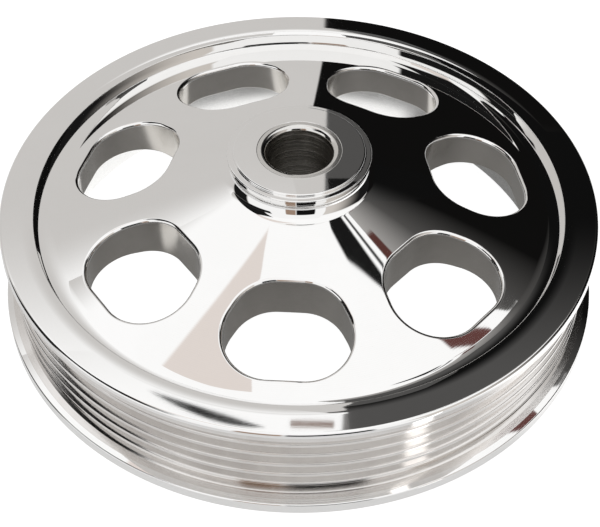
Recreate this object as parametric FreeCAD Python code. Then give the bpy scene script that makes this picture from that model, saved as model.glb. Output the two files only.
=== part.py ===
import FreeCAD, Part
import math
import os

V = FreeCAD.Vector
os.makedirs("parts", exist_ok=True)

# Multi-rib accessory drive pulley with a press-on, puller-groove hub. Millimetres.
# Z is the turning axis, z = 0 is the rear face of the rim, and the hub nose points to +Z.

# Rim
RIM_WIDTH = 27.2            # rear face to front flange face
FRONT_FLANGE_R = 73.0
REAR_FLANGE_R = 74.3
REAR_BAND = 3.0             # height of the rear flange's outer band
RIM_BORE_R = 62.8           # inside of the rim where it meets the web
RIM_DRAFT = 0.8             # extra radius at the open rear end
FLANGE_ROUND = 0.9
EDGE_ROUND = 0.4

# Belt grooves, PK section
RIBS = 6
RIB_PITCH = 3.56
GROOVE_ANGLE = 40.0         # included angle
CREST_R = 71.3
CREST_WIDTH = 0.95
GROOVE_DEPTH = 2.85
BELT_CENTRE = 13.9          # height of the belt centre line above the rear face
CREST_ROUND = 0.25
ROOT_ROUND = 0.28

# The front flange face rolls over softly into a shallow cove round the web
ROLL_R = 66.6
ROLL_LEAN = 10.8            # degrees that the face leans inwards past the roll
ROLL_ROUND = 14.5
COVE_TOP_R = 64.7
COVE_FOOT_R = 64.0
COVE_ROUND = 0.25
COVE_LOW_R = 61.6
COVE_RISE = 8.5             # degrees that the floor rises towards the rim
COVE_LOW_ROUND = 8.5

# Web
WEB_EDGE_R = 60.3
WEB_EDGE_DROP = 3.15        # below the front flange face
WEB_SLOPE = 0.27            # rise per unit of radius towards the hub
WEB_THICK_HUB = 12.9
WEB_THICK_RIM = 7.8
WEB_REAR_ROUND = 3.0

# Windows in the web
WINDOWS = 7
WINDOW_PHASE = -93.0        # degrees, centre of the first window
WINDOW_IN_R = 32.7
WINDOW_OUT_R = 56.0
WINDOW_IN_HALF = 9.4
WINDOW_OUT_HALF = 22.1
WINDOW_IN_CORNER = 10.6
WINDOW_OUT_CORNER = 10.9
WINDOW_FRONT_ROUND = 0.9
WINDOW_REAR_ROUND = 0.5

# Hub
NOSE_RISE = 15.0            # nose face above the front flange face
HUB_LENGTH = 32.0
NOSE_R = 15.8
NOSE_STEP = 0.7
COLLAR_R = 17.3
COLLAR_THICK = 1.3
COLLAR_ROUND = 0.3
STEP_ROUND = 0.2            # inside corner between collar and nose
NECK_R = 15.7
NECK_ROUND = 3.8
REAR_HUB_R = 18.0
REAR_HUB_ROUND = 1.0

# Pressed-in bore sleeve
BORE_R = 7.94               # 5/8 in shaft
SLEEVE_WALL = 2.2
SLEEVE_INSET = 0.05         # ends of the sleeve below the hub faces
BORE_ROUND = 1.3            # bright mouth of the bore
SEAT_ROUND = 0.1

EDGE_MARGIN = 1.0           # how far outside the windows their edges are looked for
TINY = 1e-4                 # lengths below this count as nothing

front = RIM_WIDTH
nose = front + NOSE_RISE
hub_rear = nose - HUB_LENGTH
web_edge = front - WEB_EDGE_DROP
seat_r = BORE_R + SLEEVE_WALL


def web_top(r):
    return web_edge + WEB_SLOPE * (WEB_EDGE_R - r)


def rounded_wire(corners):
    """Closed wire in the XZ plane through corners given as (r, z, corner radius)."""
    arcs = []
    n = len(corners)
    for i, (r, z, rad) in enumerate(corners):
        p = V(r, 0, z)
        a = V(corners[i - 1][0], 0, corners[i - 1][1]) - p
        b = V(corners[(i + 1) % n][0], 0, corners[(i + 1) % n][1]) - p
        a.normalize()
        b.normalize()
        half = a.getAngle(b) / 2
        if rad <= 0:
            arcs.append((p, None, p))
            continue
        back = rad / math.tan(half)
        mid = a + b
        mid.normalize()
        top = p + mid * (rad / math.sin(half) - rad)
        arcs.append((p + a * back, top, p + b * back))
    edges = []
    for i, (start, top, end) in enumerate(arcs):
        if top is not None:
            edges.append(Part.Arc(start, top, end).toShape())
        nxt = arcs[(i + 1) % n][0]
        if end.distanceToPoint(nxt) > TINY:
            edges.append(Part.makeLine(end, nxt))
    return Part.Wire(edges)


def turned(corners):
    face = Part.Face(rounded_wire(corners))
    return face.revolve(V(0, 0, 0), V(0, 0, 1), 360)


def groove_corners():
    """Belt grooves from the rear flange to the front flange."""
    flank = math.tan(math.radians(GROOVE_ANGLE / 2))
    mouth = (RIB_PITCH - CREST_WIDTH) / 2
    root = mouth - GROOVE_DEPTH * flank
    root_r = CREST_R - GROOVE_DEPTH
    out = []
    for k in range(RIBS):
        z = BELT_CENTRE + (k - (RIBS - 1) / 2) * RIB_PITCH
        crest = 0 if k == 0 else CREST_ROUND
        out.append((CREST_R, z - mouth, crest))
        out.append((root_r, z - root, ROOT_ROUND))
        out.append((root_r, z + root, ROOT_ROUND))
        if k < RIBS - 1:
            out.append((CREST_R, z + mouth, CREST_ROUND))
        else:
            rise = (FRONT_FLANGE_R - CREST_R) * flank
            out.append((FRONT_FLANGE_R, z + mouth + rise, EDGE_ROUND / 2))
    return out


def wheel_body():
    rear_hub_top = web_top(REAR_HUB_R) - WEB_THICK_HUB
    rim_top = web_top(RIM_BORE_R) - WEB_THICK_RIM
    collar_top = nose - NOSE_STEP
    cove_top = front - (ROLL_R - COVE_TOP_R) * math.tan(math.radians(ROLL_LEAN))
    cove_low = web_top(COVE_LOW_R)
    cove_foot = cove_low + (COVE_FOOT_R - COVE_LOW_R) * math.tan(math.radians(COVE_RISE))
    corners = [
        (seat_r, hub_rear, SEAT_ROUND),
        (REAR_HUB_R, hub_rear, REAR_HUB_ROUND),
        (REAR_HUB_R, rear_hub_top, WEB_REAR_ROUND),
        (RIM_BORE_R, rim_top, WEB_REAR_ROUND),
        (RIM_BORE_R + RIM_DRAFT, 0, EDGE_ROUND * 2),
        (REAR_FLANGE_R, 0, EDGE_ROUND),
        (REAR_FLANGE_R, REAR_BAND, EDGE_ROUND),
    ]
    corners += groove_corners()
    corners += [
        (FRONT_FLANGE_R, front, FLANGE_ROUND),
        (ROLL_R, front, ROLL_ROUND),
        (COVE_TOP_R, cove_top, COVE_ROUND),
        (COVE_FOOT_R, cove_foot, COVE_ROUND),
        (COVE_LOW_R, cove_low, COVE_LOW_ROUND),
        (NECK_R, web_top(NECK_R), NECK_ROUND),
        (NECK_R, collar_top - COLLAR_THICK, EDGE_ROUND),
        (COLLAR_R, collar_top - COLLAR_THICK, COLLAR_ROUND),
        (COLLAR_R, collar_top, COLLAR_ROUND),
        (NOSE_R, collar_top, STEP_ROUND),
        (NOSE_R, nose, EDGE_ROUND),
        (seat_r, nose, SEAT_ROUND),
    ]
    return turned(corners)


def window_cutter(angle):
    """Rounded four-sided prism, wider towards the rim, through the whole web."""
    corners = [
        (WINDOW_IN_R, -WINDOW_IN_HALF, WINDOW_IN_CORNER),
        (WINDOW_OUT_R, -WINDOW_OUT_HALF, WINDOW_OUT_CORNER),
        (WINDOW_OUT_R, WINDOW_OUT_HALF, WINDOW_OUT_CORNER),
        (WINDOW_IN_R, WINDOW_IN_HALF, WINDOW_IN_CORNER),
    ]
    wire = rounded_wire(corners)
    prism = Part.Face(wire).extrude(V(0, -nose, 0))
    prism.rotate(V(0, 0, 0), V(1, 0, 0), -90)
    prism.rotate(V(0, 0, 0), V(0, 0, 1), angle)
    return prism


def window_edges(body, front_side):
    """Edges where the windows break through the front or rear of the web."""
    found = []
    for edge in body.Edges:
        box = edge.BoundBox
        mid = edge.valueAt((edge.FirstParameter + edge.LastParameter) / 2)
        r = math.hypot(mid.x, mid.y)
        standing = max(box.XLength, box.YLength) < TINY
        beside = r < WINDOW_IN_R - EDGE_MARGIN or r > WINDOW_OUT_R + EDGE_MARGIN
        if standing or beside:
            continue
        if front_side == (web_top(r) - mid.z < WEB_THICK_RIM / 2):
            found.append(edge)
    return found


def make_wheel():
    body = wheel_body()
    for k in range(WINDOWS):
        body = body.cut(window_cutter(WINDOW_PHASE + k * 360 / WINDOWS))
    body = body.makeFillet(WINDOW_FRONT_ROUND, window_edges(body, True))
    body = body.makeFillet(WINDOW_REAR_ROUND, window_edges(body, False))
    return body


def make_sleeve():
    low = hub_rear + SLEEVE_INSET
    high = nose - SLEEVE_INSET
    return turned([
        (BORE_R, low, BORE_ROUND),
        (seat_r, low, SEAT_ROUND),
        (seat_r, high, SEAT_ROUND),
        (BORE_R, high, BORE_ROUND),
    ])


for name, shape in (("wheel", make_wheel()), ("bore_sleeve", make_sleeve())):
    shape.exportStep("parts/" + name + ".step")
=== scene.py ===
import math

import bpy
from mathutils import Matrix, Vector


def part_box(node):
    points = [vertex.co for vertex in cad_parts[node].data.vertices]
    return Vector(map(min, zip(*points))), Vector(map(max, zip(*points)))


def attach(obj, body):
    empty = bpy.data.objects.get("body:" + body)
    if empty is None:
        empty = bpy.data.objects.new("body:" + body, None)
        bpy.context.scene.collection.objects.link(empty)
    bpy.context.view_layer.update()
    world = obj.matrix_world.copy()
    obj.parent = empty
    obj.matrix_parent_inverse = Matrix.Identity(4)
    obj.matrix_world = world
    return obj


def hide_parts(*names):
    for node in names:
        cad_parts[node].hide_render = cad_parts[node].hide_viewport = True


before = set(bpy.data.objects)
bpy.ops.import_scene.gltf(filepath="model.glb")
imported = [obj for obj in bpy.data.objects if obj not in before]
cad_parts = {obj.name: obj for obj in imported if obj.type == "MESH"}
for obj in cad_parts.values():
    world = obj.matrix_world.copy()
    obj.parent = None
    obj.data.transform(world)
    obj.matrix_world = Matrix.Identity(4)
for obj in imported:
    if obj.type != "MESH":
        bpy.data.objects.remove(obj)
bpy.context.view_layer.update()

MM = 0.001
TAU = 2 * math.pi
wheel_low, wheel_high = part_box("wheel")
sleeve_low, sleeve_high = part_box("bore_sleeve")

# Sizes in millimetres, from the turning axis and from the rear face of the rim.
NOSE = wheel_high.z / MM
SLEEVE_LOW = sleeve_low.z / MM
SLEEVE_HIGH = sleeve_high.z / MM

# Rim
FRONT = 27.2
FRONT_R = 73.0
REAR_R = 74.3
REAR_BAND = 3.0
RIM_BORE_R = 62.8
RIM_DRAFT = 0.8
FLANGE_ROUND = 0.9
EDGE_ROUND = 0.4

# Belt grooves
RIB_COUNT = 6
RIB_PITCH = 3.56
GROOVE_ANGLE = 40.0
BELT_CENTRE = 13.9
CREST_R = 71.3
CREST_WIDTH = 0.95
GROOVE_DEPTH = 2.85
CREST_ROUND = 0.25
ROOT_ROUND = 0.28
FLANK = math.tan(math.radians(GROOVE_ANGLE / 2))

# Web
WEB_SLOPE = 0.27
WEB_EDGE_R = 60.3
WEB_EDGE = FRONT - 3.15
WEB_THICK_HUB = 12.9
WEB_THICK_RIM = 7.8
WEB_REAR_ROUND = 3.0

# Windows
WINDOWS = 7
WINDOW_PHASE = math.radians(-93.0)
WINDOW_CENTRE = 44.5
WINDOW_IN_R = 32.7
WINDOW_OUT_R = 56.0
WINDOW_IN_HALF = 9.4
WINDOW_OUT_HALF = 22.1
WINDOW_IN_CORNER = 10.6
WINDOW_OUT_CORNER = 10.9
FRONT_LIP = 0.9
REAR_LIP = 0.5

# Hub and sleeve
HUB_REAR = 10.2
REAR_HUB_R = 18.0
REAR_HUB_ROUND = 1.0
NOSE_R = 15.8
NOSE_STEP = 0.7
COLLAR_R = 17.3
COLLAR_THICK = 1.3
COLLAR_ROUND = 0.3
STEP_ROUND = 0.2
NECK_R = 15.7
NECK_ROUND = 3.8
SEAT_R = 10.14
SEAT_ROUND = 0.1
SEAT_REAR_ROUND = 0.25
BORE_R = 7.94
BORE_ROUND = 1.3

# The flange face rolls over softly into a shallow cove round the web.
ROLL_R = 66.6
ROLL_LEAN = math.radians(10.8)
ROLL_ROUND = 14.5
COVE_TOP_R = 64.7
COVE_FOOT_R = 64.0
COVE_ROUND = 0.25
COVE_LOW_R = 61.6
COVE_RISE = math.radians(8.5)
COVE_LOW_ROUND = 8.5
COVE_TOP = FRONT - (ROLL_R - COVE_TOP_R) * math.tan(ROLL_LEAN)
COVE_LOW = WEB_EDGE - WEB_SLOPE * (COVE_LOW_R - WEB_EDGE_R)
COVE_FOOT = COVE_LOW + (COVE_FOOT_R - COVE_LOW_R) * math.tan(COVE_RISE)

# Where one stretch of the surface gives way to the next.
HUB_EDGE_R = 19.8
WEB_OUT_R = WEB_EDGE_R - 1.5
UNDER_IN_R = 22.5
UNDER_OUT_R = 58.5
FACE_SPLIT = 3.0
FLANGE_SPLIT = 1.2
RING_SPLIT = 0.4
BORE_SPLIT = 0.3

# How finely the surfaces are divided.
SECTOR_STEPS = 48
SIDE_STEPS = 30
LIP_STEPS = 8
WALL_STEPS = 12
WEB_SPREADS = (0.04, 0.1, 0.2, 0.35, 0.5, 0.65, 0.82, 1)
TURN_STEPS = SECTOR_STEPS * WINDOWS
ARC_ANGLE = math.radians(11)
ARC_STEP = 0.35
POINTS_PER_MM = 250
NO_TURN = 1e-6

POLISH, GROOVES, WALLS, REAR = range(4)
RING, BORE = range(2)


# ---------------------------------------------------------------- surface building

def unit(*v):
    length = math.sqrt(sum(c * c for c in v))
    return tuple(c / length for c in v)


def turned_by(x, y, angle):
    c, s = math.cos(angle), math.sin(angle)
    return x * c - y * s, x * s + y * c


class Skin:
    """Points, each with the true normal of the surface, and faces, each with a finish."""

    def __init__(self):
        self.found = {}
        self.points = []
        self.normals = []
        self.faces = []
        self.finishes = []

    def point(self, place, normal):
        key = tuple(round(c * POINTS_PER_MM) for c in place)
        if key not in self.found:
            self.found[key] = len(self.points)
            self.points.append(tuple(c * MM for c in place))
            self.normals.append(unit(*normal))
        return self.found[key]

    def face(self, corners, finish):
        ring = list(dict.fromkeys(corners))
        if len(ring) < 3:
            return
        a, b, c = (Vector(self.points[i]) for i in (ring[0], ring[1], ring[-1]))
        if (b - a).cross(c - a).dot(Vector(self.normals[ring[0]])) < 0:
            ring.reverse()
        self.faces.append(ring)
        self.finishes.append(finish)

    def join(self, rows, finish):
        """Fills between closed rows of points, each with as many points as the next."""
        for a, b in zip(rows, rows[1:]):
            for i in range(len(a)):
                j = (i + 1) % len(a)
                self.face([a[i], a[j], b[j], b[i]], finish)

    def piece(self, name, materials):
        mesh = bpy.data.meshes.new(name)
        mesh.from_pydata(self.points, [], self.faces)
        for material in materials:
            mesh.materials.append(material)
        mesh.polygons.foreach_set("material_index", self.finishes)
        mesh.polygons.foreach_set("use_smooth", [True] * len(self.faces))
        mesh.update()
        mesh.normals_split_custom_set_from_vertices(self.normals)
        made = bpy.data.objects.new(name, mesh)
        bpy.context.scene.collection.objects.link(made)
        return made


def rounded(corners, closed=False):
    """Outline through corners (x, y, corner radius), as points (x, y, normal x, normal y).

    The normals are on the right of the way of travel. An open outline ends square.
    """
    out = []
    n = len(corners)
    for i, (x, y, radius) in enumerate(corners):
        before, after = corners[i - 1], corners[(i + 1) % n]
        if not closed and i == 0:
            before = (2 * x - after[0], 2 * y - after[1])
        if not closed and i == n - 1:
            after = (2 * x - before[0], 2 * y - before[1])
        ix, iy = unit(x - before[0], y - before[1])
        ax, ay = unit(after[0] - x, after[1] - y)
        turn = math.atan2(ix * ay - iy * ax, ix * ax + iy * ay)
        if radius == 0 or abs(turn) < NO_TURN:
            out.append((x, y, iy, -ix))
            continue
        side = math.copysign(radius, turn)
        back = radius * math.tan(abs(turn) / 2)
        cx, cy = x - ix * back - iy * side, y - iy * back + ix * side
        steps = max(3, math.ceil(abs(turn) / ARC_ANGLE), math.ceil(radius * abs(turn) / ARC_STEP))
        for k in range(steps + 1):
            nx, ny = turned_by(iy, -ix, turn * k / steps)
            out.append((cx + nx * side, cy + ny * side, nx, ny))
    return out


def turn_round(skin, corners, finish):
    """Turns an open outline of (r, z, corner radius) round the axis."""
    rows = []
    for r, z, nr, nz in rounded(corners):
        row = []
        for k in range(TURN_STEPS):
            angle = WINDOW_PHASE + math.pi / WINDOWS + TAU * k / TURN_STEPS
            c, s = math.cos(angle), math.sin(angle)
            row.append(skin.point((r * c, r * s, z), (nr * c, nr * s, nz)))
        rows.append(row)
    skin.join(rows, finish)


# ---------------------------------------------------------------- wheel

def web_top(r):
    return WEB_EDGE + WEB_SLOPE * (WEB_EDGE_R - r)


UNDER_HUB = web_top(REAR_HUB_R) - WEB_THICK_HUB
UNDER_RIM = web_top(RIM_BORE_R) - WEB_THICK_RIM
UNDER_SLOPE = (UNDER_HUB - UNDER_RIM) / (RIM_BORE_R - REAR_HUB_R)


def web_under(r):
    return UNDER_RIM + UNDER_SLOPE * (RIM_BORE_R - r)


def groove_corners():
    """Belt grooves from the rear flange to the front one."""
    mouth = (RIB_PITCH - CREST_WIDTH) / 2
    root = mouth - GROOVE_DEPTH * FLANK
    root_r = CREST_R - GROOVE_DEPTH
    out = []
    for k in range(RIB_COUNT):
        z = BELT_CENTRE + (k - (RIB_COUNT - 1) / 2) * RIB_PITCH
        out.append((CREST_R, z - mouth, CREST_ROUND))
        out.append((root_r, z - root, ROOT_ROUND))
        out.append((root_r, z + root, ROOT_ROUND))
        out.append((CREST_R, z + mouth, CREST_ROUND))
    out[-1] = (FRONT_R, z + mouth + (FRONT_R - CREST_R) * FLANK, EDGE_ROUND / 2)
    return out


def rim_skin(skin):
    """The rear flange, the belt grooves, the front flange and the cove."""
    grooves = groove_corners()
    rim_mid = (REAR_R - FACE_SPLIT, 0, 0)
    flange_mid = ((REAR_R + CREST_R) / 2, (REAR_BAND + grooves[0][1]) / 2, 0)
    wall_mid = (FRONT_R, FRONT - FLANGE_SPLIT, 0)
    turn_round(skin, [
        rim_mid,
        (REAR_R, 0, EDGE_ROUND),
        (REAR_R, REAR_BAND, EDGE_ROUND),
        flange_mid,
    ], POLISH)
    turn_round(skin, [flange_mid] + grooves + [wall_mid], GROOVES)
    turn_round(skin, [
        wall_mid,
        (FRONT_R, FRONT, FLANGE_ROUND),
        (ROLL_R, FRONT, ROLL_ROUND),
        (COVE_TOP_R, COVE_TOP, COVE_ROUND),
        (COVE_FOOT_R, COVE_FOOT, COVE_ROUND),
        (COVE_LOW_R, web_top(COVE_LOW_R), COVE_LOW_ROUND),
        (WEB_OUT_R, web_top(WEB_OUT_R), 0),
    ], POLISH)
    turn_round(skin, [
        (UNDER_OUT_R, web_under(UNDER_OUT_R), 0),
        (RIM_BORE_R, UNDER_RIM, WEB_REAR_ROUND),
        (RIM_BORE_R + RIM_DRAFT, 0, RIM_DRAFT),
        rim_mid,
    ], REAR)


def hub_skin(skin):
    """The neck, collar and nose in front, the seat of the sleeve, and the rear of the hub."""
    collar_top = NOSE - NOSE_STEP
    collar_low = collar_top - COLLAR_THICK
    seat_mid = (SEAT_R, NOSE - FACE_SPLIT, 0)
    turn_round(skin, [
        (HUB_EDGE_R, web_top(HUB_EDGE_R), 0),
        (NECK_R, web_top(NECK_R), NECK_ROUND),
        (NECK_R, collar_low, EDGE_ROUND),
        (COLLAR_R, collar_low, COLLAR_ROUND),
        (COLLAR_R, collar_top, COLLAR_ROUND),
        (NOSE_R, collar_top, STEP_ROUND),
        (NOSE_R, NOSE, EDGE_ROUND),
        (SEAT_R, NOSE, SEAT_ROUND),
        seat_mid,
    ], POLISH)
    turn_round(skin, [
        seat_mid,
        (SEAT_R, HUB_REAR, SEAT_REAR_ROUND),
        (REAR_HUB_R, HUB_REAR, REAR_HUB_ROUND),
        (REAR_HUB_R, UNDER_HUB, WEB_REAR_ROUND),
        (UNDER_IN_R, web_under(UNDER_IN_R), 0),
    ], REAR)


def window_outline():
    """Closely spaced points of a window's wall: (direction from its centre, x, y, nx, ny)."""
    coarse = rounded([
        (WINDOW_IN_R, -WINDOW_IN_HALF, WINDOW_IN_CORNER),
        (WINDOW_OUT_R, -WINDOW_OUT_HALF, WINDOW_OUT_CORNER),
        (WINDOW_OUT_R, WINDOW_OUT_HALF, WINDOW_OUT_CORNER),
        (WINDOW_IN_R, WINDOW_IN_HALF, WINDOW_IN_CORNER),
    ], closed=True)
    fine = []
    for a, b in zip(coarse, coarse[1:] + coarse[:1]):
        for k in range(WALL_STEPS):
            x, y, nx, ny = (p + (q - p) * k / WALL_STEPS for p, q in zip(a, b))
            fine.append((math.atan2(y, x - WINDOW_CENTRE), x, y, nx, ny))
    return sorted(fine)


def towards(outline, direction):
    """The outline's point and normal in one direction from the window's centre."""
    before = outline[-1]
    start = before[0] - TAU
    for after in outline:
        if direction <= after[0]:
            t = (direction - start) / (after[0] - start)
            return [p + (q - p) * t for p, q in zip(before[1:], after[1:])]
        before, start = after, after[0]
    return list(outline[-1][1:])


def sector_ring(inner_r, outer_r):
    """Points round one sector of the web: outer arc, side, inner arc, side."""
    half = math.pi / WINDOWS
    ring = []
    for k in range(SECTOR_STEPS):
        ring.append(turned_by(outer_r, 0, -half + 2 * half * k / SECTOR_STEPS))
    for k in range(SIDE_STEPS):
        ring.append(turned_by(outer_r + (inner_r - outer_r) * k / SIDE_STEPS, 0, half))
    for k in range(SECTOR_STEPS):
        ring.append(turned_by(inner_r, 0, half - 2 * half * k / SECTOR_STEPS))
    for k in range(SIDE_STEPS):
        ring.append(turned_by(inner_r + (outer_r - inner_r) * k / SIDE_STEPS, 0, -half))
    return ring


def web_face(skin, angle, ring, mouth, height, slope, up, lip, finish):
    """One face of the web in one sector, with the rounded lip of its window.

    up is 1 for the front face and -1 for the rear one. Gives the points where the lip
    meets the straight wall of the window.
    """
    lips = [[] for _ in range(LIP_STEPS + 1)]
    flats = [[] for _ in WEB_SPREADS]
    for (bx, by), (x, y, nx, ny) in zip(ring, mouth):
        nx, ny = unit(nx, ny)
        r = math.hypot(x, y)
        pitch = -slope * (nx * x + ny * y) / r
        cross = -slope * (nx * y - ny * x) / r
        full = math.pi / 2 - up * math.atan(pitch)
        middle = height(math.hypot(x + nx * lip, y + ny * lip)) - up * lip * math.hypot(1, pitch)
        for k, row in enumerate(lips):
            a = full * k / LIP_STEPS
            out = lip * (1 - math.cos(a))
            lean = up * cross * math.sin(a) * (k / LIP_STEPS) ** 2
            px, py = turned_by(x + nx * out, y + ny * out, angle)
            qx, qy = turned_by(-nx * math.cos(a) + ny * lean, -ny * math.cos(a) - nx * lean, angle)
            row.append(skin.point((px, py, middle + up * lip * math.sin(a)),
                                  (qx, qy, up * math.sin(a))))
        ex, ey = x + nx * out, y + ny * out
        for t, row in zip(WEB_SPREADS, flats):
            px, py = turned_by(ex + (bx - ex) * t, ey + (by - ey) * t, angle)
            r = math.hypot(px, py)
            tilt = slope * up / r
            row.append(skin.point((px, py, height(r)), (px * tilt, py * tilt, up)))
    skin.join(lips, POLISH if up > 0 else WALLS)
    skin.join([lips[-1]] + flats, finish)
    return lips[0]


def web_skin(skin):
    """The coned web, with its windows, between the hub and the rim."""
    front_ring = sector_ring(HUB_EDGE_R, WEB_OUT_R)
    rear_ring = sector_ring(UNDER_IN_R, UNDER_OUT_R)
    outline = window_outline()
    mouth = [towards(outline, math.atan2(y, x - WINDOW_CENTRE)) for x, y in front_ring]
    for k in range(WINDOWS):
        angle = WINDOW_PHASE + TAU * k / WINDOWS
        front = web_face(skin, angle, front_ring, mouth, web_top, WEB_SLOPE, 1, FRONT_LIP, POLISH)
        rear = web_face(skin, angle, rear_ring, mouth, web_under, UNDER_SLOPE, -1, REAR_LIP, REAR)
        skin.join([front, rear], WALLS)


def make_wheel(materials):
    skin = Skin()
    rim_skin(skin)
    hub_skin(skin)
    web_skin(skin)
    wheel = skin.piece("polished_wheel", materials)
    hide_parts("wheel")
    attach(wheel, "root")


def make_sleeve(materials):
    """The pressed-in sleeve: bright ends with a rounded mouth, and a bored wall."""
    skin = Skin()
    ring_mid_high = (SEAT_R - RING_SPLIT, SLEEVE_HIGH, 0)
    ring_mid_low = (SEAT_R - RING_SPLIT, SLEEVE_LOW, 0)
    bore_high = (BORE_R, SLEEVE_HIGH - BORE_ROUND - BORE_SPLIT, 0)
    bore_low = (BORE_R, SLEEVE_LOW + BORE_ROUND + BORE_SPLIT, 0)
    turn_round(skin, [
        ring_mid_low,
        (SEAT_R, SLEEVE_LOW, SEAT_ROUND),
        (SEAT_R, SLEEVE_HIGH, SEAT_ROUND),
        ring_mid_high,
        (BORE_R, SLEEVE_HIGH, BORE_ROUND),
        bore_high,
    ], RING)
    turn_round(skin, [bore_high, bore_low], BORE)
    turn_round(skin, [
        bore_low,
        (BORE_R, SLEEVE_LOW, BORE_ROUND),
        ring_mid_low,
    ], RING)
    sleeve = skin.piece("bore_sleeve_ring", materials)
    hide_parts("bore_sleeve")
    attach(sleeve, "root")


# ---------------------------------------------------------------- node helpers

class Nodes:
    """Short ways to add and link shader nodes in one tree."""

    def __init__(self, tree):
        self.tree = tree

    def add(self, kind, **settings):
        node = self.tree.nodes.new(kind)
        for name, value in settings.items():
            setattr(node, name, value)
        return node

    def set(self, socket, value):
        if isinstance(value, bpy.types.NodeSocket):
            self.tree.links.new(value, socket)
        else:
            socket.default_value = value

    def math(self, operation, a, b=0.0, c=0.0):
        node = self.add("ShaderNodeMath", operation=operation)
        for socket, value in zip(node.inputs, (a, b, c)):
            self.set(socket, value)
        return node.outputs[0]

    def span(self, value, low, high, out_low=0.0, out_high=1.0, smooth=True):
        node = self.add("ShaderNodeMapRange", interpolation_type="SMOOTHSTEP" if smooth else "LINEAR")
        for name, v in (("Value", value), ("From Min", low), ("From Max", high),
                        ("To Min", out_low), ("To Max", out_high)):
            self.set(node.inputs[name], v)
        return node.outputs[0]

    def mix(self, factor, a, b):
        node = self.add("ShaderNodeMix", data_type="RGBA")
        self.set(node.inputs[0], factor)
        self.set(node.inputs[6], a)
        self.set(node.inputs[7], b)
        return node.outputs[2]

    def noise(self, vector, scale, detail=2.0, roughness=0.5, distortion=0.0):
        node = self.add("ShaderNodeTexNoise")
        self.set(node.inputs["Vector"], vector)
        node.inputs["Scale"].default_value = scale
        node.inputs["Detail"].default_value = detail
        node.inputs["Roughness"].default_value = roughness
        node.inputs["Distortion"].default_value = distortion
        return node.outputs[0]

    def reach(self, x, y):
        """Distance from the turning axis."""
        return self.math("SQRT", self.math("ADD", self.math("MULTIPLY", x, x), self.math("MULTIPLY", y, y)))

    def degrees(self, angle):
        return self.math("MULTIPLY", angle, 360 / TAU)


def new_group(name, inputs, outputs):
    """An empty shader group with named sockets: (tree, helper, input node, output node)."""
    tree = bpy.data.node_groups.new(name, "ShaderNodeTree")
    for socket, kind, value in inputs:
        made = tree.interface.new_socket(socket, in_out="INPUT", socket_type=kind)
        if value is not None:
            made.default_value = value
    for socket, kind in outputs:
        tree.interface.new_socket(socket, in_out="OUTPUT", socket_type=kind)
    nodes = Nodes(tree)
    return tree, nodes, nodes.add("NodeGroupInput"), nodes.add("NodeGroupOutput")


FLOAT = "NodeSocketFloat"


def lathe_marks_group():
    """Fine rings left by turning, from the distance to the axis and the height."""
    tree, n, inp, out = new_group(
        "Lathe marks",
        [("Pitch mm", FLOAT, 0.1), ("Unevenness", FLOAT, 0.5)],
        [("Height", FLOAT), ("Mask", FLOAT)],
    )
    line_scale, line_weight, ripple_weight, mask_reach = 0.37, 3.0, 0.35, 0.8
    split = n.add("ShaderNodeSeparateXYZ")
    n.set(split.inputs[0], n.add("ShaderNodeTexCoord").outputs["Object"])
    x, y, z = split.outputs
    across = n.math("DIVIDE", n.math("ADD", n.reach(x, y), z),
                    n.math("MULTIPLY", inp.outputs["Pitch mm"], MM))
    ripple = n.math("SINE", n.math("MULTIPLY", across, TAU))
    line = n.add("ShaderNodeTexNoise", noise_dimensions="1D")
    n.set(line.inputs["W"], n.math("MULTIPLY", across, line_scale))
    line.inputs["Detail"].default_value = 3.0
    uneven = n.math("SUBTRACT", line.outputs[0], 0.5)
    mixed = n.math("MULTIPLY_ADD", uneven, n.math("MULTIPLY", inp.outputs["Unevenness"], line_weight),
                   n.math("MULTIPLY", ripple, ripple_weight))
    n.set(out.inputs["Height"], mixed)
    n.set(out.inputs["Mask"], n.span(mixed, -mask_reach, mask_reach))
    return tree


def buffing_haze_group():
    """Faint haze and waves left by hand buffing, both from 0 to 1."""
    tree, n, _, out = new_group("Buffing haze", [], [("Haze", FLOAT), ("Waves", FLOAT)])
    place = n.add("ShaderNodeTexCoord").outputs["Object"]
    cloud = n.noise(place, scale=38.0, detail=4.0, roughness=0.55, distortion=0.6)
    fine = n.noise(place, scale=420.0, detail=2.0, roughness=0.6)
    waves = n.noise(place, scale=60.0, detail=1.0, roughness=0.4)
    n.set(out.inputs["Haze"], n.span(n.math("MULTIPLY_ADD", fine, 0.25, cloud), 0.45, 0.85))
    n.set(out.inputs["Waves"], waves)
    return tree


def place_group(n, tree, **values):
    node = n.add("ShaderNodeGroup", node_tree=tree)
    for name, value in values.items():
        n.set(node.inputs[name.replace("_", " ")], value)
    return node


def new_material(name, metallic=1.0):
    material = bpy.data.materials.new(name)
    material.use_nodes = True
    n = Nodes(material.node_tree)
    shader = material.node_tree.nodes["Principled BSDF"]
    shader.inputs["Metallic"].default_value = metallic
    return material, n, shader


def bump(n, shader, height, strength, distance):
    node = n.add("ShaderNodeBump")
    node.inputs["Strength"].default_value = strength
    node.inputs["Distance"].default_value = distance
    n.set(node.inputs["Height"], height)
    n.set(shader.inputs["Normal"], node.outputs[0])


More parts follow.
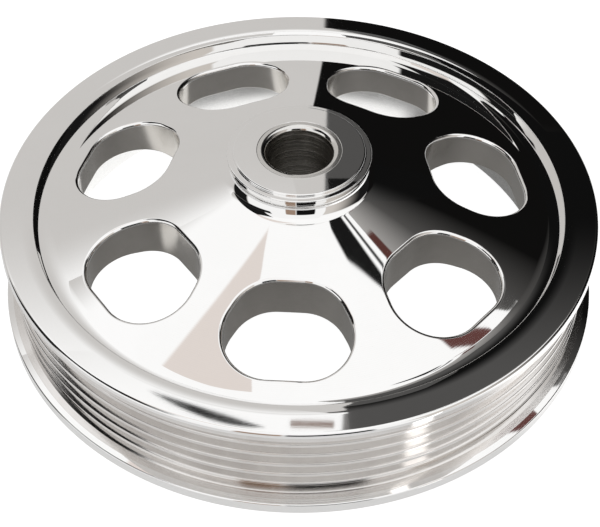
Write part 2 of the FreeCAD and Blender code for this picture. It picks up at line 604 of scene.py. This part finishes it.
def metal_finish(name, groups, dull, bright, roughness, pitch, uneven, depth, wave=0.0):
    """A turned metal finish: two tints, a range of roughness and rings of a given pitch.

    The pitch is in millimetres and the depth of the rings in metres.
    """
    lathe, haze = groups
    material, n, shader = new_material(name)
    marks = place_group(n, lathe, Pitch_mm=pitch, Unevenness=uneven)
    smear = place_group(n, haze)
    worn = n.math("MULTIPLY_ADD", marks.outputs["Mask"], 0.5,
                  n.math("MULTIPLY", smear.outputs["Haze"], 0.5))
    n.set(shader.inputs["Base Color"], n.mix(worn, dull, bright))
    n.set(shader.inputs["Roughness"], n.span(worn, 0.0, 1.0, *roughness, smooth=False))
    height = n.math("MULTIPLY_ADD", smear.outputs["Waves"], wave, marks.outputs["Height"])
    bump(n, shader, height, 1.0, depth)
    return material


def wheel_materials(groups):
    """In the order of POLISH, GROOVES, WALLS and REAR."""
    polish = metal_finish(
        "Mirror polish", groups, dull=(0.90, 0.895, 0.885, 1), bright=(0.93, 0.925, 0.92, 1),
        roughness=(0.01, 0.035), pitch=0.35, uneven=0.4, depth=0.05e-6, wave=40.0)
    grooves = metal_finish(
        "Turned grooves", groups, dull=(0.70, 0.675, 0.655, 1), bright=(0.86, 0.84, 0.82, 1),
        roughness=(0.06, 0.15), pitch=0.09, uneven=0.8, depth=0.8e-6)
    walls = metal_finish(
        "Milled window wall", groups, dull=(0.50, 0.475, 0.44, 1), bright=(0.62, 0.595, 0.56, 1),
        roughness=(0.14, 0.26), pitch=0.25, uneven=0.7, depth=0.6e-6)
    rear = metal_finish(
        "Turned rear face", groups, dull=(0.84, 0.835, 0.82, 1), bright=(0.93, 0.925, 0.915, 1),
        roughness=(0.2, 0.34), pitch=0.22, uneven=0.7, depth=1.2e-6)
    return polish, grooves, walls, rear


def sleeve_materials(groups):
    """In the order of RING and BORE."""
    ground = metal_finish(
        "Ground steel", groups, dull=(0.72, 0.71, 0.69, 1), bright=(0.82, 0.81, 0.79, 1),
        roughness=(0.06, 0.14), pitch=0.12, uneven=0.6, depth=0.3e-6)
    bored = metal_finish(
        "Bored steel", groups, dull=(0.20, 0.19, 0.17, 1), bright=(0.62, 0.59, 0.55, 1),
        roughness=(0.2, 0.42), pitch=0.55, uneven=1.6, depth=30e-6)
    return ground, bored


# ---------------------------------------------------------------- studio
#
# Directions are in degrees: azimuth from straight behind the pulley and growing to its right,
# elevation from level. A box is (left, right, low, high).

def grey(value, warm=0.0):
    return (value, value * (1 - warm), value * (1 - 2 * warm), 1)


WALL_GREY = grey(0.62, 0.025)
CEILING = grey(1.05)
BEIGE = (0.80, 0.73, 0.69, 1)
TAN = (0.66, 0.62, 0.58, 1)
BROWN = (0.24, 0.17, 0.14, 1)
FRONT_BROWN = (0.34, 0.24, 0.18, 1)
MAROON = (0.13, 0.055, 0.05, 1)
DARK_MAROON = (0.10, 0.04, 0.035, 1)
FAR = 200                   # past every direction

# The plain cards of the right side: colour, box and softness.
HUB_CARDS = (
    (grey(0.05), (30, 46, 62.6, 63.4), 0.3),
    (DARK_MAROON, (40.5, 46, 58.8, 61.0), 0.3),
    (WALL_GREY, (-4, 1.45, 39, 45.5), 0.05),
    (grey(0.10), (1.45, 4.5, 39, 45), 0.1),
)

# Cards in front of the pulley, with the azimuth from straight in front: colour and box.
FRONT_SOFT = 1.2
FRONT_CARDS = (
    (grey(1.0), (-82, 40, -20, 62)),
    (grey(0.006), (-4, 24, -12, 34)),
    (FRONT_BROWN, (-20, -5, -12, 34)),
    (grey(0.01), (-112, -84, -12, 34)),
    (grey(0.01), (-116, -46, 34, 47)),
    (grey(0.01), (-116, -60, 46, 66)),
)

# Upright cards close behind, in millimetres: (across, up) corners, colours at the foot and
# the head, and the heights between which one turns into the other.
CARD_BEHIND = 125.0
BACK_CARDS = {
    "grey_wall": ([(-300, 115), (-6, 115), (-6, 150), (11, 236), (-300, 236)],
                  WALL_GREY, CEILING, 150, 268),
    "black_flag": ([(30, 115), (118, 115), (118, 300), (24, 300), (10.3, 168), (30, 168)],
                   grey(0.005), grey(0.085, 0.02), 155, 255),
    "flag_edge": ([(10, 115), (30, 115), (30, 168), (10.3, 168)],
                  grey(0.085, 0.02), grey(0.085, 0.02), 115, 168),
}

# The floor's glow, with places in metres from the turning axis.
FLOOR_SIZE = 3.0
FLOOR_GAP = 0.0001
FLOOR_SEEN = 0.95

# The camera's place is in millimetres and its angles in degrees.
CAMERA_DISTANCE = 347.8
CAMERA_HEIGHT = 43.67
CAMERA_LENS = 84.95
CAMERA_TILT = 43.569
CAMERA_PAN = -0.071
CAMERA_ROLL = 0.359


def card(n, base, colour, azimuth, elevation, box, soft):
    """Lays a soft-edged card over the base."""
    left, right, low, high = box
    edges = [
        n.span(azimuth, left - soft, left + soft),
        n.span(azimuth, right - soft, right + soft, 1.0, 0.0),
        n.span(elevation, low - soft, low + soft),
        n.span(elevation, high - soft, high + soft, 1.0, 0.0),
    ]
    mask = edges[0]
    for edge in edges[1:]:
        mask = n.math("MULTIPLY", mask, edge)
    return n.mix(mask, base, colour)


def left_side(n, azimuth, elevation):
    """A grey wall under a white ceiling, with a beige wedge high on the left."""
    sky = n.mix(n.span(elevation, 44, 52), WALL_GREY, CEILING)
    drooping = n.math("MULTIPLY_ADD", azimuth, -0.18, elevation)
    bent = n.math("ADD", azimuth, n.span(elevation, 73, 80, 0.0, 6.5, smooth=False))
    return card(n, sky, BEIGE, bent, drooping, (-75, -31.2, 75.9, 99), 0.4)


def right_side(n, sky, azimuth, elevation):
    """A dark side wall that turns tan far round, and a black flag that fades upwards."""
    glow = n.math("ADD", n.span(elevation, 40, 50, 0.005, 0.08, smooth=False),
                  n.span(elevation, 50, 62, 0.0, 0.36, smooth=False))
    dusk = n.mix(glow, grey(0.0), grey(1.0, 0.03))
    side = n.mix(n.span(azimuth, 76, 134), grey(0.01), TAN)
    over = n.math("MULTIPLY_ADD", azimuth, -0.7, n.math("ADD", elevation, 1.5))
    over = n.math("MAXIMUM", over, n.math("SUBTRACT", elevation, 46))
    sky = card(n, sky, side, azimuth, over, (44, 150, -FAR, 0), 1.0)
    leaning = n.math("MULTIPLY_ADD", elevation, 0.035, azimuth)
    leaning = n.math("SUBTRACT", leaning, n.span(elevation, 46, 51, 0.0, 2.3))
    sky = card(n, sky, dusk, leaning, elevation, (2.52, 48.2, -90, 61), 0.12)
    sky = card(n, sky, dusk, azimuth, elevation, (46, 56, -90, 48.2), 0.12)
    return card(n, sky, MAROON, azimuth, elevation, (50.8, 52.6, 55, 63), 0.15)


def flange_marks(n, sky, azimuth, elevation):
    """The dark lens and the brown patch that the front of the flange mirrors."""
    middle = n.math("ADD", azimuth, 5.9)
    squared = n.math("MULTIPLY", middle, middle)
    rising = n.math("MULTIPLY_ADD", azimuth, -0.245, elevation)
    bowed = n.math("MULTIPLY_ADD", squared, 0.0195, rising)
    off_line = n.math("ABSOLUTE", n.math("SUBTRACT", bowed, 53.825))
    pinched = n.math("MULTIPLY_ADD", squared, 0.0143, off_line)
    sky = card(n, sky, grey(0.012), azimuth, pinched, (-9.7, -2.1, -1, 0.19), 0.05)
    return card(n, sky, BROWN, azimuth, elevation, (-0.5, 2.4, 52.76, 53.02), 0.03)


def hub_marks(n, sky, azimuth, elevation):
    """The dark and bright bands that the web mirrors beside the neck."""
    sky = card(n, sky, grey(0.01), azimuth, elevation, (32, 46, 64.5, 69.8), 0.4)
    falling = n.math("MULTIPLY_ADD", azimuth, 0.48, elevation)
    sky = card(n, sky, CEILING, azimuth, falling, (35.8, 60, 87.5, 120), 0.4)
    for colour, box, soft in HUB_CARDS:
        sky = card(n, sky, colour, azimuth, elevation, box, soft)
    return sky


def make_surroundings():
    """A white studio with a light grey wall on the left and a black flag behind on the right."""
    world = bpy.data.worlds.new("Studio")
    bpy.context.scene.world = world
    world.use_nodes = True
    n = Nodes(world.node_tree)
    world.node_tree.nodes.clear()
    way = n.add("ShaderNodeSeparateXYZ")
    n.set(way.inputs[0], n.add("ShaderNodeTexCoord").outputs["Generated"])
    x, y, z = way.outputs
    azimuth = n.degrees(n.math("ARCTAN2", x, y))
    elevation = n.degrees(n.math("ARCSINE", z))
    sky = left_side(n, azimuth, elevation)
    sky = right_side(n, sky, azimuth, elevation)
    sky = flange_marks(n, sky, azimuth, elevation)
    sky = hub_marks(n, sky, azimuth, elevation)
    facing = n.degrees(n.math("ARCTAN2", x, n.math("MULTIPLY", y, -1.0)))
    for colour, box in FRONT_CARDS:
        sky = card(n, sky, colour, facing, elevation, box, FRONT_SOFT)
    camera_ray = n.add("ShaderNodeLightPath").outputs["Is Camera Ray"]
    background = n.add("ShaderNodeBackground")
    n.set(background.inputs["Color"], n.mix(camera_ray, sky, grey(0.9)))
    output = n.add("ShaderNodeOutputWorld")
    n.set(output.inputs["Surface"], background.outputs[0])


def make_back_card(name, outline, foot, head, low, high):
    """An upright card close behind, mirrored by the metal but not seen itself."""
    mesh = bpy.data.meshes.new(name)
    mesh.from_pydata([(x * MM, 0, z * MM) for x, z in outline], [], [range(len(outline))])
    made = bpy.data.objects.new(name, mesh)
    bpy.context.scene.collection.objects.link(made)
    made.location = (0, CARD_BEHIND * MM, wheel_low.z)
    made.visible_camera = False
    made.visible_diffuse = False
    made.visible_shadow = False
    material, n, shader = new_material(name, 0.0)
    shader.inputs["Base Color"].default_value = grey(0.0)
    shader.inputs["Specular IOR Level"].default_value = 0.0
    split = n.add("ShaderNodeSeparateXYZ")
    n.set(split.inputs[0], n.add("ShaderNodeTexCoord").outputs["Object"])
    upper = n.span(split.outputs[2], low * MM, high * MM)
    n.set(shader.inputs["Emission Color"], n.mix(upper, foot, head))
    shader.inputs["Emission Strength"].default_value = 1.0
    mesh.materials.append(material)


def floor_glow(n, x, y):
    """How strongly each place on the floor glows for the metal from below: a painted shadow under the
    pulley, and painted pools of light behind it, on its right and in a thin strip.
    """
    reach = n.reach(x, y)
    around = n.degrees(n.math("ARCTAN2", y, x))
    # Painted shadow: the floor glows dimly (0.16) under the pulley, out to 64 mm from the axis, and at 0.5
    # past 76 mm.
    painted_shadow_glow = n.span(reach, 0.064, 0.076, 0.16, 0.5)
    # Painted pool of light on the floor to the right of the pulley, 70 to 80 mm from the axis.
    right = n.math("MULTIPLY", n.span(around, -52, -34), n.span(around, 15, 40, 1.0, 0.0))
    painted_shadow_glow = n.math("MULTIPLY_ADD", right, n.span(reach, 0.070, 0.080, 0.0, 0.55), painted_shadow_glow)
    # Painted pool of light under the back of the rim, 56 to 70 mm from the axis, which the rim bore mirrors
    # through the windows.
    behind = n.math("MULTIPLY", n.span(reach, 0.054, 0.058), n.span(n.math("SUBTRACT", y, x), 0.02, 0.03))
    behind = n.math("MULTIPLY", behind, n.span(reach, 0.068, 0.072, 1.0, 0.0))
    across = n.math("ADD", n.math("MULTIPLY", x, 0.702), n.math("MULTIPLY", y, 0.712))
    # Painted strip of light on the floor in front and to the right, past 80 mm from the axis.
    painted_light_strip = n.math("MULTIPLY", n.span(across, -0.0325, -0.0305), n.span(across, -0.025, -0.023, 1.0, 0.0))
    painted_light_strip = n.math("MULTIPLY", painted_light_strip, n.span(x, 0.0, 0.01))
    painted_light_strip = n.math("MULTIPLY", painted_light_strip, n.span(reach, 0.078, 0.081, 0.0, 1.6))
    return n.math("MAXIMUM", n.math("MAXIMUM", painted_shadow_glow, behind), painted_light_strip)


def make_floor():
    """Plain pale floor to the camera, glowing so that it looks even; to the metal it glows with a painted
    shadow under the pulley and painted pools of light.
    """
    mesh = bpy.data.meshes.new("floor")
    s = FLOOR_SIZE
    mesh.from_pydata([(-s, -s, 0), (s, -s, 0), (s, s, 0), (-s, s, 0)], [], [(0, 1, 2, 3)])
    floor = bpy.data.objects.new("floor", mesh)
    bpy.context.scene.collection.objects.link(floor)
    floor.location.z = wheel_low.z - FLOOR_GAP
    material, n, shader = new_material("Pale floor", 0.0)
    shader.inputs["Roughness"].default_value = 0.8
    shader.inputs["Specular IOR Level"].default_value = 0.0
    shader.inputs["Base Color"].default_value = grey(0.35)
    shader.inputs["Emission Color"].default_value = grey(1.0)
    camera_ray = n.add("ShaderNodeLightPath").outputs["Is Camera Ray"]
    split = n.add("ShaderNodeSeparateXYZ")
    n.set(split.inputs[0], n.add("ShaderNodeTexCoord").outputs["Object"])
    glow = floor_glow(n, split.outputs[0], split.outputs[1])
    # Camera rays see an even glow; all other rays see the painted shadow and painted light of floor_glow.
    n.set(shader.inputs["Emission Strength"], n.span(camera_ray, 0, 1, glow, FLOOR_SEEN))
    mesh.materials.append(material)


def make_camera():
    """Looks down on the hub side from the front."""
    data = bpy.data.cameras.new("camera")
    data.sensor_width = 36.0
    data.lens = CAMERA_LENS
    data.clip_start = 0.01
    camera = bpy.data.objects.new("camera", data)
    bpy.context.scene.collection.objects.link(camera)
    height = math.radians(CAMERA_HEIGHT)
    camera.location = (0, -CAMERA_DISTANCE * MM * math.cos(height),
                       (FRONT + CAMERA_DISTANCE * math.sin(height)) * MM)
    pan = Matrix.Rotation(math.radians(CAMERA_PAN), 4, "Z")
    tilt = Matrix.Rotation(math.radians(CAMERA_TILT), 4, "X")
    roll = Matrix.Rotation(math.radians(CAMERA_ROLL), 4, "Z")
    camera.rotation_euler = (pan @ tilt @ roll).to_euler()
    bpy.context.scene.camera = camera
    bpy.context.scene.view_settings.view_transform = "Standard"


finish_groups = (lathe_marks_group(), buffing_haze_group())
make_wheel(wheel_materials(finish_groups))
make_sleeve(sleeve_materials(finish_groups))
make_surroundings()
for card_name, card_values in BACK_CARDS.items():
    make_back_card(card_name, *card_values)
make_floor()
make_camera()
